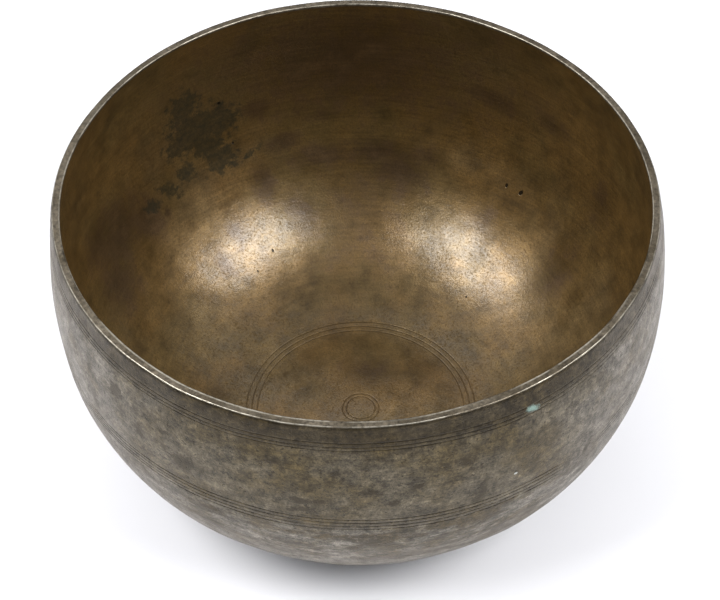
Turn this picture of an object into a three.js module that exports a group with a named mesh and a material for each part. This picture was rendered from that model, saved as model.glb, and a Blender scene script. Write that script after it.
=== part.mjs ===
// A hand-hammered bronze singing bowl that stands on its own flat foot.
//
// The bowl is one piece of metal, so the model is one solid of revolution. Its outline is two
// tangent arcs: a tall upper arc that leans in towards the rim, and a lower arc that rolls under
// into the foot. The inside follows the outside at the wall's thickness. Two bands of scribed
// lines run round the outside, and two sets of scribed rings lie on the floor inside.
//
// Millimetres, +Z up, the origin at the middle of the foot.

import * as THREE from 'three';

// Driving dimensions
const HEIGHT = 130;
const RIM_RADIUS = 115;
const UPPER_ARC_RADIUS = 171;
const RIM_LEAN = THREE.MathUtils.degToRad(12.7);
const SHOULDER_LEAN = THREE.MathUtils.degToRad(7.3);
const RIM_THICKNESS = 2.9;
const WALL_THICKNESS = 2.1;
const BASE_THICKNESS = 2.6;
const RIM_TAPER_HEIGHT = 26; // the wall thins from the rim's thickness over this height
const RIM_EDGE_RADIUS = 0.5;
const RIM_INNER_DROP = 7; // the inner edge of the rim runs straight down this far

// Scribed lines: depths of the outer ones below the rim, radii of the inner ones on the floor
const LINE_WIDTH = 0.6;
const LINE_DEPTH = 0.3;
const UPPER_BAND_DEPTHS = [7.3, 9.1, 10.6];
const LOWER_BAND_DEPTHS = [47.6, 49.6, 51.8, 53.8];
const LARGE_RING_RADII = [48.4, 46.1, 43.8];
const SMALL_RING_RADII = [7.7, 6.1];

// Fineness of the solid
const SEGMENTS = 64;
const ARC_STEP = THREE.MathUtils.degToRad(5.6);
const EDGE_STEPS = 3;

// The two arcs of the outside. An angle on an arc is the slope of the surface's outward normal
// below the horizontal: minus RIM_LEAN at the rim, a quarter turn at the foot.
const upperCentre = new THREE.Vector2(
  RIM_RADIUS - UPPER_ARC_RADIUS * Math.cos(RIM_LEAN),
  HEIGHT - UPPER_ARC_RADIUS * Math.sin(RIM_LEAN),
);
const shoulder = new THREE.Vector2(
  upperCentre.x + UPPER_ARC_RADIUS * Math.cos(SHOULDER_LEAN),
  upperCentre.y - UPPER_ARC_RADIUS * Math.sin(SHOULDER_LEAN),
);
const lowerArcRadius = shoulder.y / (1 - Math.sin(SHOULDER_LEAN));
const footRadius = shoulder.x - lowerArcRadius * Math.cos(SHOULDER_LEAN);
const lowerCentre = new THREE.Vector2(footRadius, lowerArcRadius);
const FOOT_ANGLE = Math.PI / 2;

function outwardNormal(angle) {
  return new THREE.Vector2(Math.cos(angle), -Math.sin(angle));
}

function outerPoint(angle) {
  const onUpperArc = angle < SHOULDER_LEAN;
  const centre = onUpperArc ? upperCentre : lowerCentre;
  const radius = onUpperArc ? UPPER_ARC_RADIUS : lowerArcRadius;
  return outwardNormal(angle).multiplyScalar(radius).add(centre);
}

function thicknessAt(angle) {
  const depth = HEIGHT - outerPoint(angle).y;
  const towardsWall = THREE.MathUtils.smoothstep(depth, 0, RIM_TAPER_HEIGHT);
  const towardsBase = THREE.MathUtils.smoothstep(angle, SHOULDER_LEAN, FOOT_ANGLE);
  const upper = THREE.MathUtils.lerp(RIM_THICKNESS, WALL_THICKNESS, towardsWall);
  return THREE.MathUtils.lerp(upper, BASE_THICKNESS, towardsBase);
}

function innerPoint(angle) {
  return outerPoint(angle).addScaledVector(outwardNormal(angle), -thicknessAt(angle));
}

// The angle on the outside at a given depth below the rim, for depths on the upper arc
function angleAtDepth(depth) {
  return Math.asin((upperCentre.y - (HEIGHT - depth)) / UPPER_ARC_RADIUS);
}

// Angles from one end of a stretch to the other, evenly spaced, both ends included
function evenAngles(from, to) {
  const steps = Math.ceil(Math.abs(to - from) / ARC_STEP);
  return Array.from({ length: steps + 1 }, (_, i) => THREE.MathUtils.lerp(from, to, i / steps));
}

// A V-shaped scribed line across the outside, from its lower lip to its upper lip
function outerLine(depth) {
  const angle = angleAtDepth(depth);
  const halfAngle = LINE_WIDTH / 2 / UPPER_ARC_RADIUS;
  const root = outerPoint(angle).addScaledVector(outwardNormal(angle), -LINE_DEPTH);
  return [outerPoint(angle + halfAngle), root, outerPoint(angle - halfAngle)];
}

// A V-shaped ring in the floor, from its outer lip to its inner lip
function floorRing(radius) {
  return [
    new THREE.Vector2(radius + LINE_WIDTH / 2, floorHeight(radius + LINE_WIDTH / 2)),
    new THREE.Vector2(radius, floorHeight(radius) - LINE_DEPTH),
    new THREE.Vector2(radius - LINE_WIDTH / 2, floorHeight(radius - LINE_WIDTH / 2)),
  ];
}

// The floor inside is flat over the foot and curves up beyond it
function floorHeight(radius) {
  if (radius <= footRadius) {
    return BASE_THICKNESS;
  }
  const reach = lowerArcRadius - BASE_THICKNESS;
  return lowerArcRadius - Math.sqrt(reach ** 2 - (radius - footRadius) ** 2);
}

function outsideProfile() {
  const lowerBandStart = angleAtDepth(Math.max(...LOWER_BAND_DEPTHS) + LINE_WIDTH);
  const lowerBandEnd = angleAtDepth(Math.min(...LOWER_BAND_DEPTHS) - LINE_WIDTH);
  const upperBandStart = angleAtDepth(Math.max(...UPPER_BAND_DEPTHS) + LINE_WIDTH);
  return [
    new THREE.Vector2(0, 0),
    ...evenAngles(FOOT_ANGLE, SHOULDER_LEAN).map(outerPoint),
    outerPoint(lowerBandStart),
    ...LOWER_BAND_DEPTHS.toReversed().flatMap(outerLine),
    ...evenAngles(lowerBandEnd, upperBandStart).map(outerPoint),
    ...UPPER_BAND_DEPTHS.toReversed().flatMap(outerLine),
  ];
}

// Points on a quarter circle that rounds one edge of the rim, anticlockwise from the given angle
function rimEdge(centre, from) {
  return Array.from({ length: EDGE_STEPS + 1 }, (_, i) => {
    const angle = from + (i / EDGE_STEPS) * (Math.PI / 2);
    const spoke = new THREE.Vector2(Math.cos(angle), Math.sin(angle));
    return spoke.multiplyScalar(RIM_EDGE_RADIUS).add(centre);
  });
}

// A flat rim with a small round on its outer and its inner edge
function rimProfile() {
  const edgeHeight = HEIGHT - RIM_EDGE_RADIUS;
  const outerCentre = new THREE.Vector2(RIM_RADIUS - RIM_EDGE_RADIUS, edgeHeight);
  const innerCentre = new THREE.Vector2(RIM_RADIUS - RIM_THICKNESS + RIM_EDGE_RADIUS, edgeHeight);
  return [...rimEdge(outerCentre, 0), ...rimEdge(innerCentre, Math.PI / 2)];
}

function insideProfile() {
  const belowRim = angleAtDepth(RIM_INNER_DROP);
  const outermostRing = Math.max(...LARGE_RING_RADII) + LINE_WIDTH;
  const lowerStretch = evenAngles(SHOULDER_LEAN, FOOT_ANGLE).map(innerPoint);
  return [
    ...evenAngles(belowRim, SHOULDER_LEAN).slice(0, -1).map(innerPoint),
    ...lowerStretch.filter((point) => point.x > outermostRing),
    ...LARGE_RING_RADII.flatMap(floorRing),
    new THREE.Vector2(footRadius, BASE_THICKNESS),
    ...SMALL_RING_RADII.flatMap(floorRing),
    new THREE.Vector2(0, BASE_THICKNESS),
  ];
}

function makeBowl() {
  const profile = [...outsideProfile(), ...rimProfile(), ...insideProfile()];
  const geometry = new THREE.LatheGeometry(profile, SEGMENTS);
  const material = new THREE.MeshStandardMaterial({ color: 0x7d7263, roughness: 0.45, metalness: 0.9 });
  const bowl = new THREE.Mesh(geometry, material);
  bowl.name = 'bowl';
  bowl.rotation.x = Math.PI / 2;
  return bowl;
}

const object = new THREE.Group();
object.add(makeBowl());

export default object;
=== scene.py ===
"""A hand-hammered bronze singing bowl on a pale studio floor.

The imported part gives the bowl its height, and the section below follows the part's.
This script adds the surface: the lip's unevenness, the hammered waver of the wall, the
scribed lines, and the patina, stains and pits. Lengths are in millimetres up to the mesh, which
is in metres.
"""

from collections import namedtuple
from math import asin, ceil, cos, pi, radians, sin

import bpy
import numpy as np
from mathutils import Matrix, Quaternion, Vector, noise


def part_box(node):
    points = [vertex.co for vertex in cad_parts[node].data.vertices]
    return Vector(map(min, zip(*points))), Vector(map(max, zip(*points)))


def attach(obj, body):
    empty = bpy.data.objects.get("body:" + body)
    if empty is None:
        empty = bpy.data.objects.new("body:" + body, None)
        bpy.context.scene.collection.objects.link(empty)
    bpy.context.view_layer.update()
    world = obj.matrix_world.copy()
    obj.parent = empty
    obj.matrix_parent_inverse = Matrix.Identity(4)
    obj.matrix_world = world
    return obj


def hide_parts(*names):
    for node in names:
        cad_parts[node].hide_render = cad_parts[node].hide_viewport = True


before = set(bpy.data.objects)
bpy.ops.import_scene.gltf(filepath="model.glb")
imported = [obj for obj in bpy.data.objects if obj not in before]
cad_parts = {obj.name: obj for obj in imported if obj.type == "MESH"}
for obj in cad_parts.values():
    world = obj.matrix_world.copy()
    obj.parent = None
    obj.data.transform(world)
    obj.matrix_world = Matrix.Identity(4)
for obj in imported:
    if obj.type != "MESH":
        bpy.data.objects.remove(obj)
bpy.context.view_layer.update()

MM = 0.001
BOWL_LOW, BOWL_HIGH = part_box("bowl")

# ---------------------------------------------------------------- driving dimensions

# The outside is a flat foot, a lower arc and an upper arc, which meet at the shoulder. A lean is the
# angle between the wall and upright: outward at the shoulder, and inward at the rim.
HEIGHT = (BOWL_HIGH.z - BOWL_LOW.z) / MM
RIM_RADIUS = 115.0
UPPER_ARC_RADIUS = 171.0
RIM_LEAN = radians(12.7)
SHOULDER_LEAN = radians(7.3)
RIM_THICKNESS = 2.9
WALL_THICKNESS = 2.1
BASE_THICKNESS = 2.6
RIM_TAPER_HEIGHT = 26.0
RIM_EDGE_RADIUS = 0.42

# The scribed lines: depths are below the rim, and radii are on the floor inside.
LINE_HALF_WIDTH = 0.3
LINE_DEPTH = 0.26
UPPER_BAND_DEPTHS = (7.3, 9.1, 10.6)
LOWER_BAND_DEPTHS = (47.6, 49.6, 51.8, 53.8)
LARGE_RING_RADII = (43.8, 46.1, 48.4)
SMALL_RING_RADII = (6.1, 7.7)

# What the hand has left: how far the bowl strays from a turned one. The foot is shifted to one side
# of the rim, and the lip sways to the other. A dent in the lip has an azimuth, a half width and a
# softness in degrees, and then how far it pushes the lip out.
BASE_SHIFT = 1.1
LIP_SWAY = -0.25
LIP_DENTS = ((247, 8, 12, 0.45), (299, 9, 12, -0.6))
LIP_WAVER = 0.16
LIP_RISE = 0.22
BAND_WAVER = 0.28
RING_WAVER = 0.168
BROAD_DENT = 0.24
SMALL_DENT = 0.06

# How strong the finer part of each waver is, against the coarser part
FINE_BAND_WAVER = 0.4
FINE_LIP_WAVER = 0.5
FINE_LIP_RISE = 0.3

# How deep each band of lines is cut, as a share of LINE_DEPTH: the usual share, how much it
# varies, the number of waves in a turn, and the noise's seed
BAND_CUTS = {
    "upper": (0.52, 0.18, 12, 4.4),
    "lower": (0.85, 0.25, 10, 9.9),
    "rings": (0.42, 0.15, 6, 2.8),
}
# Where the lower band is almost worn away: an azimuth, a half width and a softness in degrees
WORN_GAP = (313.5, 4, 4)
WORN_GAP_LOSS = 0.95

# The lip's shape fades out down to a depth below the rim. The wall's unevenness fades in between
# two depths below the rim and, on the outside, between two heights above the foot. The dents of
# the hammer come in two sizes.
LIP_SHAPE_DEPTH = 14
PLAIN_RIM_DEPTHS = (1, 3)
PLAIN_FOOT_HEIGHTS = (1, 12)
BROAD_DENT_SIZE = 34.0
SMALL_DENT_SIZE = 12.0

# How finely the mesh is cut, where its rows lie across a scribed line, and the share of the
# texture that its layout leaves free at the top and the bottom
SEGMENTS = 352
WALL_STEP = 1.9
FLOOR_STEP = 2.6
LINE_OFFSETS = (-0.55, -0.3, -0.15, 0.0, 0.15, 0.3, 0.55)
RIM_EDGE_STEPS = 4
RIM_FLAT_STEPS = 4
UNWRAP_MARGIN = 0.004

# Wear and painted glint on the lip: how strong they are on the round of an edge, how closely the
# painted highlight keeps to the inner crest, and where it shows (an azimuth, a half width and a softness in
# degrees)
EDGE_WEAR_AND_GLINT = 2.4
CREST_SHARPNESS = 8
FRONT_GLINT = (275, 40, 30)

# Brings the noise for shapes to about -1 to 1
NOISE_GAIN = 1.6

# ---------------------------------------------------------------- the bowl's section

upper_centre = np.array([
    RIM_RADIUS - UPPER_ARC_RADIUS * cos(RIM_LEAN),
    HEIGHT - UPPER_ARC_RADIUS * sin(RIM_LEAN),
])
shoulder = upper_centre + UPPER_ARC_RADIUS * np.array([cos(SHOULDER_LEAN), -sin(SHOULDER_LEAN)])
LOWER_ARC_RADIUS = shoulder[1] / (1 - sin(SHOULDER_LEAN))
FOOT_RADIUS = shoulder[0] - LOWER_ARC_RADIUS * cos(SHOULDER_LEAN)
SHOULDER_REACH = FOOT_RADIUS + LOWER_ARC_RADIUS * (pi / 2 - SHOULDER_LEAN)
RIM_REACH = SHOULDER_REACH + UPPER_ARC_RADIUS * (SHOULDER_LEAN + RIM_LEAN)

# The zones of the surface, in the order of their materials
ZONES = ("outside", "rim", "inside")

# A reach is a distance along the outside from the middle of the foot. A row is one ring of
# vertices: its point and its normal in the section, how deep a scribed line cuts it, the band of
# lines that it wanders with, its zone, its wear and painted glint all round, and its painted highlight only
# at the front.
Row = namedtuple("Row", "point normal line band zone worn front_worn", defaults=(0.0, 0.0))


def smooth(value, low, high):
    """0 below low, 1 above high, and a smooth rise between."""
    share = np.clip((value - low) / (high - low), 0.0, 1.0)
    return share * share * (3 - 2 * share)


def outside(reach):
    """The point of the outside at a reach, and the outward normal there."""
    if reach <= FOOT_RADIUS:
        return np.array([reach, 0.0]), np.array([0.0, -1.0])
    if reach <= SHOULDER_REACH:
        angle = pi / 2 - (reach - FOOT_RADIUS) / LOWER_ARC_RADIUS
        centre, radius = np.array([FOOT_RADIUS, LOWER_ARC_RADIUS]), LOWER_ARC_RADIUS
    else:
        angle = SHOULDER_LEAN - (reach - SHOULDER_REACH) / UPPER_ARC_RADIUS
        centre, radius = upper_centre, UPPER_ARC_RADIUS
    normal = np.array([cos(angle), -sin(angle)])
    return centre + radius * normal, normal


def thickness(reach):
    """The wall's thickness at a reach."""
    point, _ = outside(reach)
    towards_wall = smooth(HEIGHT - point[1], 0.0, RIM_TAPER_HEIGHT)
    towards_base = smooth(SHOULDER_REACH - reach, 0.0, SHOULDER_REACH - FOOT_RADIUS)
    upper = RIM_THICKNESS + (WALL_THICKNESS - RIM_THICKNESS) * towards_wall
    return upper + (BASE_THICKNESS - upper) * towards_base


def inside(reach):
    """The point of the inside behind a reach, and the normal that faces into the bowl."""
    point, normal = outside(reach)
    return point - normal * thickness(reach), -normal


def reach_at_depth(depth):
    """The reach on the upper arc at a depth below the rim."""
    angle = asin((upper_centre[1] - (HEIGHT - depth)) / UPPER_ARC_RADIUS)
    return RIM_REACH - UPPER_ARC_RADIUS * (angle + RIM_LEAN)


def reach_at_radius(radius):
    """The reach of a ring of this radius on the floor inside."""
    beyond = max(radius - FOOT_RADIUS, 0.0)
    angle = asin(beyond / (LOWER_ARC_RADIUS - BASE_THICKNESS))
    return min(radius, FOOT_RADIUS) + LOWER_ARC_RADIUS * angle


UPPER_BAND = [reach_at_depth(depth) for depth in UPPER_BAND_DEPTHS]
LOWER_BAND = [reach_at_depth(depth) for depth in LOWER_BAND_DEPTHS]
LARGE_RINGS = [reach_at_radius(radius) for radius in LARGE_RING_RADII]
SMALL_RINGS = [reach_at_radius(radius) for radius in SMALL_RING_RADII]


def stations(start, end, step, lines):
    """Reaches from start to end, close together across each line and at most a step apart elsewhere."""
    marks = sorted([start, end] + [line + offset for line in lines for offset in LINE_OFFSETS])
    reaches = [start]
    for low, high in zip(marks, marks[1:]):
        pieces = max(1, ceil((high - low) / step))
        reaches += [low + (high - low) * piece / pieces for piece in range(1, pieces + 1)]
    return reaches


def line_cut(reach, lines):
    """How deep the nearest scribed line cuts at a reach, from 0 to 1."""
    gap = min(abs(reach - line) for line in lines) / LINE_HALF_WIDTH
    return max(0.0, 1 - gap * gap) ** 2


def outside_rows():
    """The rows of the outside, from the middle of the foot up to the rim's edge."""
    lines = UPPER_BAND + LOWER_BAND
    band_split = (min(UPPER_BAND) + max(LOWER_BAND)) / 2
    rows = []
    for reach in stations(0.0, RIM_REACH - RIM_EDGE_RADIUS, WALL_STEP, lines):
        band = "upper" if reach > band_split else "lower"
        rows.append(Row(*outside(reach), line_cut(reach, lines), band, "outside"))
    return rows


def inside_rows():
    """The rows of the inside, from the rim's edge down to the middle of the floor."""
    lines = LARGE_RINGS + SMALL_RINGS
    reaches = stations(0.0, RIM_REACH - 2 * RIM_EDGE_RADIUS, FLOOR_STEP, lines)
    return [Row(*inside(reach), line_cut(reach, lines), "rings", "inside") for reach in reversed(reaches)]


def rim_rows():
    """The lip from its outer edge, over the flat, to its inner edge."""
    level = HEIGHT - RIM_EDGE_RADIUS
    outer_centre = np.array([RIM_RADIUS - RIM_EDGE_RADIUS, level])
    inner_centre = np.array([RIM_RADIUS - RIM_THICKNESS + RIM_EDGE_RADIUS, level])
    rows = []
    for centre, start, end in ((outer_centre, RIM_LEAN, pi / 2), (inner_centre, pi / 2, pi + RIM_LEAN)):
        for angle in np.linspace(start, end, RIM_EDGE_STEPS + 1):
            normal = np.array([cos(angle), sin(angle)])
            # Edge rounds are lighter from wear and a painted glint; the inner crest also gets a painted
            # highlight.
            worn = min(1.0, EDGE_WEAR_AND_GLINT * abs(cos(angle) * sin(angle)))
            crest = sin(angle) ** CREST_SHARPNESS if centre is inner_centre else 0.0
            rows.append(Row(centre + RIM_EDGE_RADIUS * normal, normal, 0.0, "upper", "rim", worn, crest))
        if centre is outer_centre:
            for radius in np.linspace(outer_centre[0], inner_centre[0], RIM_FLAT_STEPS + 1)[1:-1]:
                rows.append(Row(np.array([radius, HEIGHT]), np.array([0.0, 1.0]), 0.0, "upper", "rim"))
    return rows


# ---------------------------------------------------------------- the bowl's mesh

azimuths = np.linspace(0.0, 2 * pi, SEGMENTS, endpoint=False)


def round_noise(waves, seed):
    """Smooth noise round the bowl, from -1 to 1, with about this many waves in a turn."""
    shift = Vector((0, 0, seed))
    circle = [Vector((cos(a), sin(a), 0)) * waves / pi + shift for a in azimuths]
    return NOISE_GAIN * np.array([noise.noise(place) for place in circle])


def lumps(points, size, seed):
    """Smooth noise in space at each point, from -1 to 1, with lumps of this size."""
    shift = Vector((seed, 2 * seed, 3 * seed))
    return NOISE_GAIN * np.array([noise.noise(Vector(point) / size + shift) for point in points])


def azimuth_window(centre, half_width, soft):
    """1 within half_width degrees of an azimuth, falling to 0 over the next soft degrees."""
    gap = np.abs((np.degrees(azimuths) - centre + 180) % 360 - 180)
    return 1 - smooth(gap, half_width, half_width + soft)


def two_scales(coarse, fine, fine_share):
    """A coarse and a fine noise round the bowl together, each given as its waves and its seed."""
    return round_noise(*coarse) + fine_share * round_noise(*fine)


waver = {
    "upper": BAND_WAVER * two_scales((9, 1.7), (31, 5.2), FINE_BAND_WAVER),
    "lower": BAND_WAVER * two_scales((7, 8.3), (27, 3.9), FINE_BAND_WAVER),
    "rings": RING_WAVER * round_noise(5, 6.6),
}
cut_depth = {
    band: usual + spread * round_noise(waves, seed)
    for band, (usual, spread, waves, seed) in BAND_CUTS.items()
}
cut_depth["lower"] *= 1 - WORN_GAP_LOSS * azimuth_window(*WORN_GAP)
lip_shape = LIP_SWAY * np.cos(azimuths)
for centre, half_width, soft, push in LIP_DENTS:
    lip_shape += push * azimuth_window(centre, half_width, soft)
lip_out = lip_shape + LIP_WAVER * two_scales((6, 0.4), (26, 7.5), FINE_LIP_WAVER)
lip_in = lip_shape + LIP_WAVER * two_scales((8, 3.3), (24, 9.1), FINE_LIP_WAVER)
lip_rise = LIP_RISE * two_scales((4, 6.1), (26, 1.1), FINE_LIP_RISE)


def row_vertices(row):
    """The ring of vertices of one row, in millimetres, with everything that the hand has left."""
    radius, height = row.point
    across, along = row.normal
    plain_rim, rim_start = PLAIN_RIM_DEPTHS
    near_rim = float(smooth(height, HEIGHT - LIP_SHAPE_DEPTH, HEIGHT - plain_rim))
    off_foot = float(smooth(height, *PLAIN_FOOT_HEIGHTS)) if row.zone != "inside" else 1.0
    away_from_edge = 1 - float(smooth(height, HEIGHT - rim_start, HEIGHT - plain_rim))

    slide = waver[row.band] * away_from_edge * off_foot
    lip = lip_out if across > 0 and row.zone != "inside" else lip_in
    radii = radius - along * slide + near_rim * lip
    heights = height + across * slide + near_rim * lip_rise
    turned = np.stack([radii * np.cos(azimuths), radii * np.sin(azimuths), heights], axis=1)

    # A dent goes through the wall, so it moves the inside against its own normal.
    broad = BROAD_DENT * lumps(turned, BROAD_DENT_SIZE, seed=0.7)
    small = SMALL_DENT * lumps(turned, SMALL_DENT_SIZE, seed=4.1)
    side = 1.0 if row.zone != "inside" else -1.0
    push = side * (broad + small) * off_foot * away_from_edge - LINE_DEPTH * row.line * cut_depth[row.band]
    turned[:, 0] += push * across * np.cos(azimuths) + BASE_SHIFT * (1 - height / HEIGHT)
    turned[:, 1] += push * across * np.sin(azimuths)
    turned[:, 2] += push * along
    return turned


def bowl_faces(ring_rows):
    """The faces between the rings and round the two middles, which are the last two vertices. Each
    face comes with its material's slot, and with its row and its place in that row."""
    foot_middle = len(ring_rows) * SEGMENTS
    floor_middle = foot_middle + 1
    last = len(ring_rows) - 1
    faces, slots, face_rows = [], [], []
    for k in range(SEGMENTS):
        after = (k + 1) % SEGMENTS
        faces.append((foot_middle, after, k))
        faces.append((floor_middle, last * SEGMENTS + k, last * SEGMENTS + after))
        slots += [ZONES.index("outside"), ZONES.index("inside")]
        face_rows += [(0, k), (last + 1, k)]
    for i in range(last):
        low, high = i * SEGMENTS, (i + 1) * SEGMENTS
        zones = (ring_rows[i].zone, ring_rows[i + 1].zone)
        slot = ZONES.index("rim" if "rim" in zones else zones[0])
        for k in range(SEGMENTS):
            after = (k + 1) % SEGMENTS
            faces.append((low + k, low + after, high + after, high + k))
            slots.append(slot)
            face_rows.append((i + 1, k))
    return faces, slots, face_rows


def make_bowl(materials):
    """The bowl as one closed mesh: the outside from the foot up, over the lip, and down to the floor."""
    rows = outside_rows() + rim_rows() + inside_rows()
    rings = [row_vertices(row) for row in rows]
    foot_middle, floor_middle = rings[0].mean(axis=0), rings[-1].mean(axis=0)
    rings, ring_rows = rings[1:-1], rows[1:-1]
    vertices = np.concatenate(rings + [foot_middle[None], floor_middle[None]]) * MM
    faces, slots, face_rows = bowl_faces(ring_rows)

    mesh = bpy.data.meshes.new("singing_bowl")
    mesh.from_pydata([tuple(v) for v in vertices], [], faces)
    for material in materials:
        mesh.materials.append(material)
    mesh.polygons.foreach_set("material_index", slots)
    mesh.polygons.foreach_set("use_smooth", [True] * len(faces))

    # The painted highlight on the inner crest is kept to the front.
    front_glint_window = azimuth_window(*FRONT_GLINT)
    paint_rings(mesh, "scribed", [row.line * np.clip(cut_depth[row.band], 0.0, 1.0) for row in ring_rows])
    paint_rings(mesh, "worn", [np.clip(row.worn + row.front_worn * front_glint_window, 0.0, 1.0) for row in ring_rows])
    add_unwrapping(mesh, [foot_middle] + rings + [floor_middle], face_rows)
    mesh.validate()
    mesh.update()
    bowl = bpy.data.objects.new("hammered_bowl", mesh)
    bpy.context.scene.collection.objects.link(bowl)
    return bowl


def paint_rings(mesh, name, values):
    """Stores one value for each vertex of each ring, and 0 at the foot's and the floor's middle."""
    attribute = mesh.attributes.new(name, "FLOAT", "POINT")
    attribute.data.foreach_set("value", np.concatenate(values + [[0.0, 0.0]]).astype(np.float32))


def add_unwrapping(mesh, rings, face_rows):
    """A texture layout with the azimuth across and the distance along the section up."""
    first = np.array([np.atleast_2d(ring)[0] for ring in rings])
    distance = np.concatenate([[0.0], np.cumsum(np.linalg.norm(np.diff(first, axis=0), axis=1))])
    up = UNWRAP_MARGIN + (1 - 2 * UNWRAP_MARGIN) * distance / distance[-1]
    layer = mesh.uv_layers.new(name="OFBake")
    corner_uv = np.zeros((len(mesh.loops), 2), np.float32)
    for polygon, (i, k) in zip(mesh.polygons, face_rows):
        left, right = k / SEGMENTS, (k + 1) / SEGMENTS
        if polygon.loop_total == 4:
            corners = [(left, up[i]), (right, up[i]), (right, up[i + 1]), (left, up[i + 1])]
        elif i == 0:
            corners = [((left + right) / 2, up[0]), (right, up[1]), (left, up[1])]
        else:
            corners = [((left + right) / 2, up[-1]), (left, up[-2]), (right, up[-2])]
        start = polygon.loop_start
        corner_uv[start:start + polygon.loop_total] = corners
    layer.data.foreach_set("uv", corner_uv.ravel())


# ---------------------------------------------------------------- marks on the metal

# A mark lies at an azimuth in degrees and a reach along the wall. Its length runs round the bowl
# and its width up the wall, and tilt turns it, in degrees. Strength is how much of it shows.
Mark = namedtuple("Mark", "azimuth reach length width tilt strength")

OUTSIDE_BLOTCHES = (
    Mark(238, 177, 13, 8, -20, 0.95),
    Mark(234, 189, 10, 4, -35, 0.8),
    Mark(228, 181, 9, 10, -10, 0.8),
    Mark(222, 192, 8, 9, 0, 0.8),
    Mark(240, 152, 15, 4, -25, 0.85),
    Mark(247, 149, 8, 3, 0, 0.8),
    Mark(255, 195, 8, 3, 0, 0.7),
    Mark(260, 176, 8, 3.5, 0, 1.0),
    Mark(260, 171, 10, 3.5, 0, 1.0),
    Mark(263, 176, 5, 3, 0, 1.0),
    Mark(271, 152, 16, 6, 5, 0.75),
    Mark(276, 176, 6, 3, 0, 0.9),
    Mark(272, 183, 10, 5, 0, 0.7),
    Mark(280, 184, 6, 3, 0, 0.75),
    Mark(266, 190, 12, 5, 0, 0.6),
    Mark(291, 170, 6, 14, 15, 0.8),
    Mark(289, 190, 14, 8, 30, 0.65),
    Mark(315, 165, 3, 10, 20, 1.0),
    Mark(312, 156, 12, 6, 15, 0.8),
    Mark(20, 172, 16, 8, 10, 0.9),
    Mark(63, 158, 10, 6, -15, 0.8),
    Mark(98, 184, 12, 6, 20, 0.8),
    Mark(141, 165, 15, 7, -10, 0.9),
    Mark(178, 186, 9, 5, 0, 0.8),
)
VERDIGRIS = (
    Mark(301.5, 205, 4.6, 2.2, 8, 1.0),
    Mark(302, 204, 3.4, 1.1, 8, 0.8),
)
WHITE_SPECK = (Mark(298, 175.5, 1.5, 1.1, 0, 1.0),)
INSIDE_STAIN = (
    Mark(126, 160, 34, 22, 0, 1.0),
    Mark(129, 174, 16, 20, 0, 0.95),
    Mark(120, 160, 16, 12, 0, 0.9),
    Mark(122, 141, 15, 13, 0, 1.0),
    Mark(124, 149, 16, 10, 0, 1.0),
    Mark(132, 155, 16, 7, 0, 0.9),
    Mark(131, 142, 12, 9, -30, 0.9),
    Mark(136, 139, 14, 6, -30, 0.85),
    Mark(142, 138, 12, 6, -20, 0.8),
    Mark(115, 138, 12, 3, 20, 0.75),
)
# Dark brown patches on the metal; the two wide marks at azimuths 92 and 90 are painted shade.
INSIDE_DARK_PATCHES_AND_SHADE = (
    Mark(145, 136, 22, 16, -20, 0.95),
    Mark(153, 141, 36, 22, 10, 1.0),
    Mark(160, 149, 26, 16, 10, 0.9),
    Mark(161, 126, 26, 14, 0, 0.85),
    Mark(139, 131, 4, 5, 0, 0.9),
    Mark(112, 160, 16, 12, 0, 0.9),
    Mark(109, 172, 10, 12, 0, 0.7),
    Mark(107, 139, 16, 9, 0, 0.9),
    Mark(99, 130, 34, 9, -4, 0.9),
    Mark(86, 131, 30, 9, 4, 0.85),
    Mark(80, 124, 24, 13, 0, 0.9),
    Mark(113, 123, 11, 12, 0, 0.85),
    Mark(107, 108, 10, 10, 0, 0.7),
    Mark(73, 131, 14, 8, 0, 0.7),
    Mark(60, 170, 34, 12, -10, 0.9),
    Mark(45, 171, 18, 10, 0, 0.8),
    Mark(28, 154, 14, 22, 0, 0.75),
    Mark(97, 150, 20, 10, 0, 0.7),
    Mark(56, 110, 12, 9, 0, 0.6),
    Mark(31, 108, 18, 16, 0, 0.7),
    Mark(80, 20, 22, 14, 0, 0.7),
    Mark(230, 120, 40, 26, 10, 0.8),
    Mark(285, 150, 50, 24, -10, 0.9),
    Mark(330, 118, 32, 20, 0, 0.8),
    # Painted shade: darkens the top of the far wall.
    Mark(92, 182, 120, 60, 0, 0.9),
    Mark(124, 107, 9, 8, 0, 0.75),
    Mark(131, 95, 8, 8, 0, 0.8),
    Mark(105, 104, 12, 8, 0, 0.8),
    # Painted shade: darkens the wall between the two softboxes' reflections.
    Mark(90, 108, 50, 44, 0, 0.46),
)
# Lighter gold patches: partly lighter metal, and beside the softboxes' reflections a painted glow of light.
INSIDE_PALE_GOLD_AND_GLOW = (
    Mark(130, 128, 24, 22, 0, 1.0),
    Mark(138, 120, 22, 14, 0, 0.8),
    Mark(39, 102, 16, 26, 0, 0.8),
    Mark(14, 92, 26, 30, 0, 0.8),
    Mark(66, 134, 26, 10, 0, 0.7),
    Mark(127, 158, 66, 44, 0, 0.5),
)
INSIDE_PITS = (
    Mark(116.5, 91.5, 0.9, 0.9, 0, 1.0),
    Mark(123.5, 85.5, 0.7, 0.7, 0, 0.9),
    Mark(49.5, 130, 2.4, 1.3, 40, 1.0),
    Mark(53.5, 130, 1.2, 1.5, 0, 1.0),
    Mark(50, 75.5, 1.0, 1.0, 0, 0.8),
    Mark(120.5, 169.5, 1.8, 1.6, 0, 0.9),
    Mark(118.5, 146, 1.3, 1.2, 0, 0.9),
)

# ---------------------------------------------------------------- the metal's looks

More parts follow.
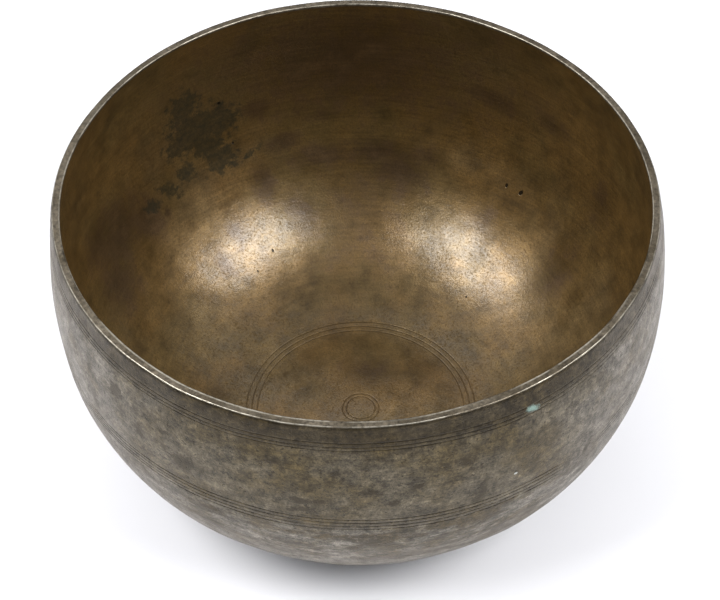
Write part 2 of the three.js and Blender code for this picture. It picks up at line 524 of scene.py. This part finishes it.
# Linear colours of the outside, the inside and the lip. A tint warms the shine: all of it where the
# surface isn't metal, and at grazing angles where it is.
OUTSIDE_TINT = (1.0, 0.94, 0.86, 1)
BROWN_PATINA = (0.053, 0.0390, 0.0165, 1)
GREY_PATINA = (0.077, 0.0650, 0.0440, 1)
RUBBED_BROWN = (0.045, 0.0335, 0.0165, 1)
RUBBED_SILVER = (0.148, 0.138, 0.119, 1)
# Painted sheen: silver for the sides, where the turning wall reflects grazing light
SIDE_PAINTED_SHEEN = (0.139, 0.130, 0.115, 1)
UNDER_LIP_BROWN = (0.023, 0.016, 0.0065, 1)
# Painted shade low round the foot
UNDERSIDE_PAINTED_SHADE = (0.034, 0.026, 0.018, 1)
BLOTCH_BROWN = (0.021, 0.015, 0.0065, 1)
SPECK_BLACK = (0.015, 0.011, 0.005, 1)
OUTSIDE_LINE = (0.014, 0.010, 0.006, 1)
VERDIGRIS_GREEN = (0.17, 0.25, 0.22, 1)
PALE_SPECK = (0.41, 0.42, 0.40, 1)

INSIDE_TINT = (1.0, 0.90, 0.76, 1)
GOLDEN_BROWN = (0.123, 0.072, 0.0205, 1)
GOLDEN_OLIVE = (0.108, 0.069, 0.0218, 1)
# For lighter metal and for a painted glow
PALE_GOLD_AND_GLOW = (0.175, 0.116, 0.050, 1)
CLOUD_BROWN = (0.054, 0.036, 0.015, 1)
# For the dark patches and for painted shade
PATCH_AND_SHADE_BROWN = (0.047, 0.027, 0.013, 1)
PORE_BROWN = (0.045, 0.028, 0.014, 1)
STAIN_GREEN = (0.024, 0.025, 0.016, 1)
PIT_BLACK = (0.008, 0.006, 0.003, 1)
INSIDE_LINE = (0.030, 0.019, 0.009, 1)

LIP_BROWN = (0.065, 0.052, 0.034, 1)
LIP_GREY = (0.116, 0.097, 0.071, 1)
# Lighter metal for edge wear and for the painted glint and highlight on the edges
LIP_WEAR_AND_GLINT = (0.38, 0.35, 0.29, 1)

# The heights above the foot, and for the painted sheen at the sides the distances from the middle
# plane, between which each part of the outside's patina, painted shade and painted sheen comes in
RUBBED_HEIGHTS = (70, 82)
STREAKED_HEIGHTS = (60, 84)
UNDER_LIP_HEIGHTS = (116, 124)
UNDERSIDE_SHADE_HEIGHTS = (11, 23)
SHEEN_SIDE_DISTANCES = (58, 108)

# How far each surface behaves as bare metal. Verdigris and specks take some of that away, and
# they are rough.
OUTSIDE_METALLIC = 0.62
INSIDE_METALLIC = 0.6
LIP_METALLIC = 0.8
CRUST_LOSS = 0.6
CRUST_ROUGHNESS = 0.8

# The wax film inside: its refractive index, how full it usually is, and how patchy
WAX_IOR = 1.52
WAX_WEIGHT = 0.67
WAX_PATCHINESS = 1.8

# A mark's cover falls evenly to nothing at this many times its size. The mark shows where the
# cover is above the edge's, and it is fully ragged where the cover is above the last number.
MARK_FALL = 2.0
MARK_EDGE = 0.5
RAGGED_FROM = 0.3

# A noise's middle and the values that it seldom leaves. A tone's gain brings a noise that stays
# within a quarter of its middle to the full spread, and no tone goes below the darkest.
NOISE_MIDDLE = 0.5
NOISE_RANGE = (0.3, 0.7)
TONE_GAIN = 4
DARKEST_TONE = 0.15


class Metal:
    """A procedural material, built from nodes with short calls."""

    def __init__(self, name):
        self.material = bpy.data.materials.new(name)
        self.material.use_nodes = True
        self.nodes = self.material.node_tree.nodes
        self.links = self.material.node_tree.links
        self.shader = self.nodes["Principled BSDF"]
        self.place = self.nodes.new("ShaderNodeTexCoord").outputs["Object"]

    def node(self, kind, **values):
        """A new node with these settings."""
        node = self.nodes.new(kind)
        for name, value in values.items():
            setattr(node, name, value)
        return node

    def feed(self, socket, value):
        """Links another node's output to a socket, or sets the socket to a number or colour."""
        if isinstance(value, bpy.types.NodeSocket):
            self.links.new(value, socket)
        else:
            socket.default_value = value

    def math(self, operation, *values):
        """One step of arithmetic on numbers or outputs."""
        node = self.node("ShaderNodeMath", operation=operation)
        for socket, value in zip(node.inputs, values):
            self.feed(socket, value)
        return node.outputs[0]

    def ramp(self, value, low, high, bottom=0.0, top=1.0):
        """Goes smoothly from bottom, where a value is low, to top, where it is high."""
        node = self.node("ShaderNodeMapRange", interpolation_type="SMOOTHSTEP")
        for socket, number in zip(node.inputs, (value, low, high, bottom, top)):
            self.feed(socket, number)
        return node.outputs[0]

    def coordinate(self, axis):
        """How far a place lies along an axis, in metres."""
        parts = self.node("ShaderNodeSeparateXYZ")
        self.feed(parts.inputs[0], self.place)
        return parts.outputs[axis]

    def height_share(self, low, high):
        """0 below one height and 1 above another, in millimetres above the foot."""
        return self.ramp(self.coordinate("Z"), low * MM, high * MM)

    def wander(self, noise_value, low, high):
        """A number that goes from low to high with a noise."""
        return self.ramp(noise_value, *NOISE_RANGE, low, high)

    def swing(self, noise_value):
        """A noise brought to swing about 0."""
        return self.math("SUBTRACT", noise_value, NOISE_MIDDLE)

    def mix(self, share, first, second):
        """The first colour where the share is 0, and the second where it is 1."""
        node = self.node("ShaderNodeMix", data_type="RGBA")
        first_color, second_color = [socket for socket in node.inputs if socket.type == "RGBA"]
        self.feed(node.inputs["Factor"], share)
        self.feed(first_color, first)
        self.feed(second_color, second)
        return next(socket for socket in node.outputs if socket.type == "RGBA")

    def paint(self, color, coat, where, strength):
        """Another colour laid over this one, as far as where says, and at most this strong."""
        return self.mix(self.math("MULTIPLY", where, strength), color, coat)

    def noise(self, size, detail, roughness, place=None):
        """Cloudy noise from 0 to 1, with clouds of this size in millimetres and finer detail."""
        node = self.node("ShaderNodeTexNoise")
        self.feed(node.inputs["Vector"], place or self.place)
        node.inputs["Scale"].default_value = 1 / (size * MM)
        node.inputs["Detail"].default_value = detail
        node.inputs["Roughness"].default_value = roughness
        return node.outputs["Fac"]

    def stretched(self, x, y, z):
        """A place squeezed by these factors, so that a noise on it is drawn out where they are small."""
        node = self.node("ShaderNodeMapping")
        self.feed(node.inputs["Vector"], self.place)
        node.inputs["Scale"].default_value = (x, y, z)
        return node.outputs["Vector"]

    def tone(self, color, swing, spread):
        """The colour made lighter and darker by a swing about 0, up to this share either way."""
        node = self.node("ShaderNodeVectorMath", operation="SCALE")
        self.feed(node.inputs[0], color)
        factor = self.math("MULTIPLY_ADD", swing, TONE_GAIN * spread, 1.0)
        self.feed(node.inputs["Scale"], self.math("MAXIMUM", factor, DARKEST_TONE))
        return node.outputs["Vector"]

    def marks(self, marks, surface, ragged, grain, soft=0.08):
        """How far the marks cover a place, from 0 to 1. Their edges are as ragged as said, with a
        grain in millimetres, and more or less soft."""
        cover = 0.0
        for mark in marks:
            point, normal = surface(mark.reach)
            turn = radians(mark.azimuth)
            shift = BASE_SHIFT * (1 - point[1] / HEIGHT)
            middle = Vector((point[0] * cos(turn) + shift, point[0] * sin(turn), point[1])) * MM
            down = -normal[1] if surface is outside else normal[1]
            lean = asin(float(np.clip(down, -1, 1)))
            node = self.node("ShaderNodeMapping", vector_type="TEXTURE")
            self.feed(node.inputs["Vector"], self.place)
            node.inputs["Location"].default_value = middle
            node.inputs["Rotation"].default_value = (-lean, radians(mark.tilt), turn + pi / 2)
            half_size = Vector((mark.length / 2, max(mark.length, mark.width), mark.width / 2)) * MM
            node.inputs["Scale"].default_value = half_size
            far = self.node("ShaderNodeVectorMath", operation="LENGTH")
            self.feed(far.inputs[0], node.outputs["Vector"])
            share = self.node("ShaderNodeMapRange")
            fall = (far.outputs["Value"], 0.0, MARK_FALL, mark.strength, 0.0)
            for socket, number in zip(share.inputs, fall):
                self.feed(socket, number)
            cover = self.math("MAXIMUM", cover, share.outputs[0])
        near = self.ramp(cover, 0.0, RAGGED_FROM, 0.0, ragged)
        cover = self.math("MULTIPLY_ADD", self.swing(self.noise(grain, 7, 0.70)), near, cover)
        return self.ramp(cover, MARK_EDGE - soft, MARK_EDGE + soft)

    def painted(self, name):
        """A value that the mesh carries at its vertices."""
        return self.node("ShaderNodeAttribute", attribute_name=name).outputs["Fac"]

    def bump(self, height, depth, under=None):
        """Raises the surface by this depth in millimetres where height is 1."""
        node = self.node("ShaderNodeBump")
        node.inputs["Strength"].default_value = 1.0
        node.inputs["Distance"].default_value = depth * MM
        self.feed(node.inputs["Height"], height)
        if under:
            self.feed(node.inputs["Normal"], under)
        return node.outputs["Normal"]

    def finish(self, color, rough, normal, metallic):
        """Sets the shader, and gives the material."""
        self.feed(self.shader.inputs["Base Color"], color)
        self.feed(self.shader.inputs["Roughness"], rough)
        self.feed(self.shader.inputs["Normal"], normal)
        self.feed(self.shader.inputs["Metallic"], metallic)
        return self.material


def outside_metal():
    """Grey-brown patina: mottled and speckled on the wall, darker under the lip, painted shade round the
    foot, rubbed to silver grey and streaky low on the wall, and a painted silvery sheen at the sides."""
    metal = Metal("aged_bronze_outside")
    clouds = metal.ramp(metal.noise(24, 5, 0.62), 0.38, 0.62)
    color = metal.mix(clouds, BROWN_PATINA, GREY_PATINA)

    low_wall = metal.math("SUBTRACT", 1.0, metal.height_share(*RUBBED_HEIGHTS))
    patches = metal.ramp(metal.noise(9, 6, 0.7, metal.stretched(0.5, 0.5, 1.3)), 0.40, 0.60)
    rubbed = metal.mix(patches, RUBBED_BROWN, RUBBED_SILVER)
    color = metal.paint(color, rubbed, low_wall, 0.85)
    # Painted sheen: the sides, left and right of the middle plane, are painted silvery for the reflection
    # along the turning wall.
    sheen_near, sheen_far = SHEEN_SIDE_DISTANCES
    sheen_sides = metal.ramp(metal.math("ABSOLUTE", metal.coordinate("X")), sheen_near * MM, sheen_far * MM)
    sheen_patchiness = metal.ramp(metal.noise(13, 6, 0.7), 0.36, 0.58, bottom=0.35)
    color = metal.paint(color, SIDE_PAINTED_SHEEN, sheen_sides, sheen_patchiness)
    color = metal.paint(color, UNDER_LIP_BROWN, metal.height_share(*UNDER_LIP_HEIGHTS), 0.75)
    # Painted shade: the wall darkens towards the foot, where the bowl's shadow on the floor lies under it.
    underside_shade = metal.math("SUBTRACT", 1.0, metal.height_share(*UNDERSIDE_SHADE_HEIGHTS))
    color = metal.paint(color, UNDERSIDE_PAINTED_SHADE, underside_shade, 0.85)

    color = metal.tone(color, metal.swing(metal.noise(5.0, 7, 0.76)), 1.1)
    streaks = metal.noise(1.1, 5, 0.7, metal.stretched(0.09, 0.09, 1.0))
    streakiness = metal.math("MULTIPLY_ADD", metal.height_share(*STREAKED_HEIGHTS), -0.55, 1.0)
    color = metal.tone(color, metal.math("MULTIPLY", metal.swing(streaks), streakiness), 0.80)
    color = metal.tone(color, metal.swing(metal.noise(2.4, 5, 0.75)), 0.5)
    color = metal.tone(color, metal.swing(metal.noise(0.8, 3, 0.8)), 0.6)

    blotches = metal.marks(OUTSIDE_BLOTCHES, outside, ragged=1.9, grain=4.0, soft=0.16)
    color = metal.paint(color, BLOTCH_BROWN, blotches, 0.78)
    specks = metal.ramp(metal.noise(1.5, 3, 0.6), 0.42, 0.34)
    color = metal.paint(color, SPECK_BLACK, specks, 0.65)
    scribed = metal.ramp(metal.painted("scribed"), 0.0, 0.5)
    clogged = metal.ramp(metal.noise(4.0, 5, 0.70), 0.36, 0.62, bottom=0.90, top=0.25)
    color = metal.paint(color, OUTSIDE_LINE, scribed, clogged)

    green = metal.marks(VERDIGRIS, outside, ragged=1.0, grain=0.9, soft=0.28)
    white = metal.marks(WHITE_SPECK, outside, ragged=0.4, grain=1.6)
    color = metal.mix(green, color, VERDIGRIS_GREEN)
    color = metal.mix(white, color, PALE_SPECK)
    crust = metal.math("MAXIMUM", green, white)

    rough = metal.wander(metal.noise(9, 4, 0.6), 0.32, 0.44)
    rough = metal.math("MAXIMUM", rough, metal.math("MULTIPLY", crust, CRUST_ROUGHNESS))
    normal = metal.bump(metal.noise(0.9, 4, 0.65), 0.08)
    normal = metal.bump(metal.noise(5.5, 3, 0.5), 0.12, normal)
    normal = metal.bump(specks, -0.06, normal)
    normal = metal.bump(crust, 0.25, normal)
    metallic = metal.math("MULTIPLY_ADD", crust, -CRUST_LOSS, OUTSIDE_METALLIC)
    metal.shader.inputs["Specular Tint"].default_value = OUTSIDE_TINT
    return metal.finish(color, rough, normal, metallic)


def inside_metal():
    """Golden-brown satin bronze under a patchy film of wax, with ragged brown clouds, a
    greenish-black stain and tiny pits."""
    metal = Metal("aged_bronze_inside")
    broad = metal.ramp(metal.noise(42, 4, 0.55), 0.40, 0.60)
    color = metal.mix(broad, GOLDEN_BROWN, GOLDEN_OLIVE)
    clouds = metal.ramp(metal.noise(24, 6, 0.60), 0.48, 0.66)
    color = metal.paint(color, CLOUD_BROWN, clouds, 0.40)
    # Lighter metal, and a painted glow beside the highlights
    pale_gold_and_glow = metal.marks(INSIDE_PALE_GOLD_AND_GLOW, inside, ragged=1.0, grain=12.0, soft=0.5)
    color = metal.paint(color, PALE_GOLD_AND_GLOW, pale_gold_and_glow, 0.5)
    # Dark patches and painted shade, laid on as one
    dark_patches_and_shade = metal.marks(INSIDE_DARK_PATCHES_AND_SHADE, inside, ragged=1.9, grain=9.0, soft=0.30)
    color = metal.paint(color, PATCH_AND_SHADE_BROWN, dark_patches_and_shade, 0.8)
    color = metal.tone(color, metal.swing(metal.noise(9, 6, 0.60)), 0.46)
    streaks = metal.noise(1.0, 4, 0.6, metal.stretched(0.05, 0.05, 1.0))
    color = metal.tone(color, metal.swing(streaks), 0.20)

    pores = metal.ramp(metal.noise(0.8, 2, 0.7), 0.47, 0.37)
    color = metal.paint(color, PORE_BROWN, pores, 0.42)
    color = metal.tone(color, metal.swing(metal.noise(0.9, 3, 0.75)), 0.22)

    stain = metal.marks(INSIDE_STAIN, inside, ragged=1.6, grain=4.0, soft=0.12)
    thin_stain = metal.ramp(metal.noise(2.2, 5, 0.7), 0.34, 0.62, bottom=0.86, top=0.58)
    stain = metal.math("MULTIPLY", stain, thin_stain)
    color = metal.mix(stain, color, STAIN_GREEN)
    pits = metal.marks(INSIDE_PITS, inside, ragged=0.3, grain=1.6)
    color = metal.paint(color, PIT_BLACK, pits, 0.95)
    scribed = metal.ramp(metal.painted("scribed"), 0.0, 0.4)
    clogged = metal.ramp(metal.noise(5.0, 4, 0.6), 0.36, 0.62, bottom=0.70, top=0.30)
    color = metal.paint(color, INSIDE_LINE, scribed, clogged)

    rough = metal.wander(metal.noise(12, 5, 0.6), 0.34, 0.46)
    normal = metal.bump(metal.noise(0.7, 3, 0.65), 0.06)
    normal = metal.bump(metal.noise(6.0, 4, 0.5), 0.09, normal)
    normal = metal.bump(pits, -0.12, normal)

    wax = metal.math("MULTIPLY_ADD", metal.swing(metal.noise(1.6, 5, 0.85)), WAX_PATCHINESS, WAX_WEIGHT)
    for thinned_by, loss in ((pores, 0.5), (clouds, 0.22), (pits, 0.9), (stain, 0.4)):
        wax = metal.math("MULTIPLY_ADD", thinned_by, -loss, wax)
    metal.feed(metal.shader.inputs["Coat Weight"], wax)
    wax_roughness = metal.wander(metal.noise(9, 5, 0.6), 0.17, 0.26)
    metal.feed(metal.shader.inputs["Coat Roughness"], wax_roughness)
    metal.feed(metal.shader.inputs["Coat Normal"], normal)
    metal.shader.inputs["Coat IOR"].default_value = WAX_IOR
    metal.shader.inputs["Specular Tint"].default_value = INSIDE_TINT
    return metal.finish(color, rough, normal, INSIDE_METALLIC)


def rim_metal():
    """The lip: brown-grey patina, lighter along its two edges from wear and painted glint, with a painted
    highlight on the inner crest at the front.
    """
    metal = Metal("aged_bronze_lip")
    clouds = metal.ramp(metal.noise(12, 5, 0.65), 0.38, 0.62)
    color = metal.mix(clouds, LIP_BROWN, LIP_GREY)
    color = metal.tone(color, metal.swing(metal.noise(1.6, 5, 0.75)), 0.9)
    # Wear and painted glint: the edges, and at the front the inner crest, are painted lighter.
    worn = metal.math("MULTIPLY", metal.painted("worn"), metal.ramp(metal.noise(14.0, 6, 0.62), 0.32, 0.54))
    wear_and_glint_grain = metal.ramp(metal.noise(1.8, 4, 0.7), 0.36, 0.56, bottom=0.45)
    color = metal.paint(color, LIP_WEAR_AND_GLINT, worn, wear_and_glint_grain)
    rough = metal.wander(metal.noise(6, 3, 0.6), 0.30, 0.44)
    normal = metal.bump(metal.noise(0.8, 4, 0.65), 0.06)
    return metal.finish(color, rough, normal, LIP_METALLIC)


# ---------------------------------------------------------------- studio

# The studio's lengths are in metres, but for the lens, which is in millimetres.
FLOOR_SIZE = 6.0
FLOOR_COLOR = (0.755, 0.755, 0.785, 1)
FLOOR_ROUGHNESS = 0.9
FLOOR_SHINE = 0.1

# The camera's distance and elevation are from the middle of the rim.
CAMERA_DISTANCE = 6.8 * RIM_RADIUS * MM
CAMERA_ELEVATION = radians(44.24)
CAMERA_AIM = Vector((0.001, 0.0, 0.0699))
CAMERA_ROLL = radians(-0.32)
CAMERA_LENS = 102.95
CAMERA_NEAREST = 0.01

# How bright the room is at each height of view, where 0 is the horizon and 1 straight up, and how
# much red and blue there is for each part of green
SKY_STRENGTH = 0.5
SKY_RED = 0.98
SKY_BLUE = 1.03
SKY_SHADES = ((0.0, 0.9), (0.10, 0.16), (0.5, 0.30), (0.95, 0.6))

# A softbox stands at an azimuth and an elevation in degrees, seen from the middle of the bowl.
# Its power is in watts.
Softbox = namedtuple("Softbox", "name azimuth elevation distance width height power")
SOFTBOXES = (
    Softbox("left_softbox", -158.5, 50.0, 0.95, 0.59, 0.42, 11.4),
    Softbox("right_softbox", -27.5, 45.8, 0.95, 0.57, 0.40, 10.8),
    Softbox("left_card", 170, 26, 0.95, 0.6, 0.45, 0.45),
    Softbox("right_card", -6, 18, 0.95, 0.6, 0.40, 0.40),
    Softbox("back_left_fill", 128, 50, 1.3, 1.5, 0.95, 4.8),
    Softbox("back_right_fill", 60, 52, 1.3, 1.5, 0.95, 3.8),
)


def add_floor():
    """A wide sheet of matt pale paper under the bowl."""
    mesh = bpy.data.meshes.new("studio_floor")
    half = FLOOR_SIZE / 2
    corners = [(-half, -half, 0), (half, -half, 0), (half, half, 0), (-half, half, 0)]
    mesh.from_pydata(corners, [], [(0, 1, 2, 3)])
    paper = Metal("studio_paper")
    paper.shader.inputs["Base Color"].default_value = FLOOR_COLOR
    paper.shader.inputs["Roughness"].default_value = FLOOR_ROUGHNESS
    paper.shader.inputs["Specular IOR Level"].default_value = FLOOR_SHINE
    mesh.materials.append(paper.material)
    floor = bpy.data.objects.new("studio_floor", mesh)
    bpy.context.scene.collection.objects.link(floor)


def add_softbox(box):
    """A rectangular lamp that faces the middle of the bowl."""
    light = bpy.data.lights.new(box.name, "AREA")
    light.shape = "RECTANGLE"
    light.size = box.width
    light.size_y = box.height
    light.energy = box.power
    turn, rise = radians(box.azimuth), radians(box.elevation)
    towards = Vector((cos(rise) * cos(turn), cos(rise) * sin(turn), sin(rise)))
    lamp = bpy.data.objects.new(box.name, light)
    lamp.location = towards * box.distance + Vector((0, 0, HEIGHT / 2 * MM))
    lamp.rotation_euler = towards.to_track_quat("Z", "Y").to_euler()
    bpy.context.scene.collection.objects.link(lamp)


def add_sky():
    """A pale room: a bright line at the horizon, dim above it, and brighter again overhead."""
    world = bpy.data.worlds.new("pale_room")
    world.use_nodes = True
    nodes, links = world.node_tree.nodes, world.node_tree.links
    direction = nodes.new("ShaderNodeTexCoord")
    parts = nodes.new("ShaderNodeSeparateXYZ")
    shade = nodes.new("ShaderNodeValToRGB")
    # A ramp starts with two stops and keeps at least one, so its own last stop goes at the end.
    stops = shade.color_ramp.elements
    stops.remove(stops[0])
    for height, value in SKY_SHADES:
        stop = stops.new(height)
        stop.color = (value * SKY_RED, value, value * SKY_BLUE, 1)
    stops.remove(stops[-1])
    links.new(direction.outputs["Generated"], parts.inputs[0])
    links.new(parts.outputs["Z"], shade.inputs[0])
    links.new(shade.outputs["Color"], nodes["Background"].inputs["Color"])
    nodes["Background"].inputs["Strength"].default_value = SKY_STRENGTH
    bpy.context.scene.world = world


def add_camera():
    """A long lens in front of the bowl, looking down into it."""
    data = bpy.data.cameras.new("studio_camera")
    data.lens = CAMERA_LENS
    data.clip_start = CAMERA_NEAREST
    camera = bpy.data.objects.new("studio_camera", data)
    rim_middle = Vector((0, 0, HEIGHT * MM))
    back = Vector((0, -cos(CAMERA_ELEVATION), sin(CAMERA_ELEVATION))) * CAMERA_DISTANCE
    camera.location = rim_middle + back
    look = (CAMERA_AIM - camera.location).to_track_quat("-Z", "Y")
    camera.rotation_mode = "QUATERNION"
    camera.rotation_quaternion = look @ Quaternion((0, 0, 1), CAMERA_ROLL)
    bpy.context.scene.collection.objects.link(camera)
    bpy.context.scene.camera = camera


# ---------------------------------------------------------------- the whole scene

bowl = make_bowl([outside_metal(), rim_metal(), inside_metal()])
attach(bowl, "root")
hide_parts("bowl")

add_floor()
for softbox in SOFTBOXES:
    add_softbox(softbox)
add_sky()
add_camera()
bpy.context.scene.view_settings.view_transform = "Standard"
